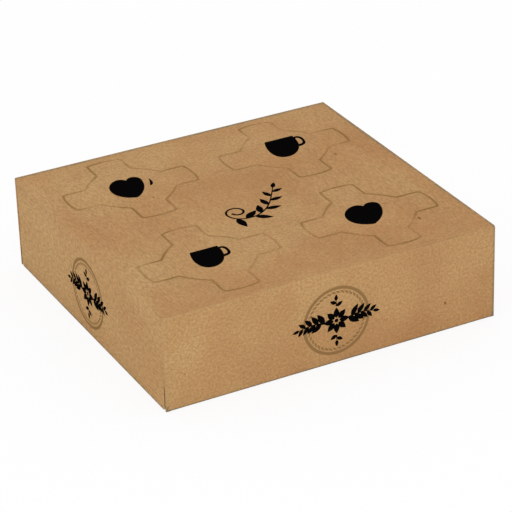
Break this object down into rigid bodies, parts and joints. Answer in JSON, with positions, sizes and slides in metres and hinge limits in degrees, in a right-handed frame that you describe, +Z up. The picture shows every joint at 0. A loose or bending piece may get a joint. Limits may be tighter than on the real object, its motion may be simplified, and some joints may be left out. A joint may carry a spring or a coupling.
{
  "type": "cup carrier",
  "caption": "Low, nearly square box of folded kraft board with cross-shaped knock-outs in its top panel that open into seats for take-away cups.",
  "frame": {"origin": "middle of the underside, on the surface that the carrier stands on", "axes": "+Z up, +X along the longer walls to the right of the front, -Y towards the front"},
  "size_m": [0.225, 0.215, 0.063],
  "materials": {
    "kraft_board": "uncoated brown kraft liner, matt, with fine fibres and soft blotches",
    "black_ink": "flat black print on the liner",
    "brown_ink": "thin brown print on the liner"
  },
  "bodies": {
    "root": {"carrier": "kraft_board"}
  },
  "joints": []
}
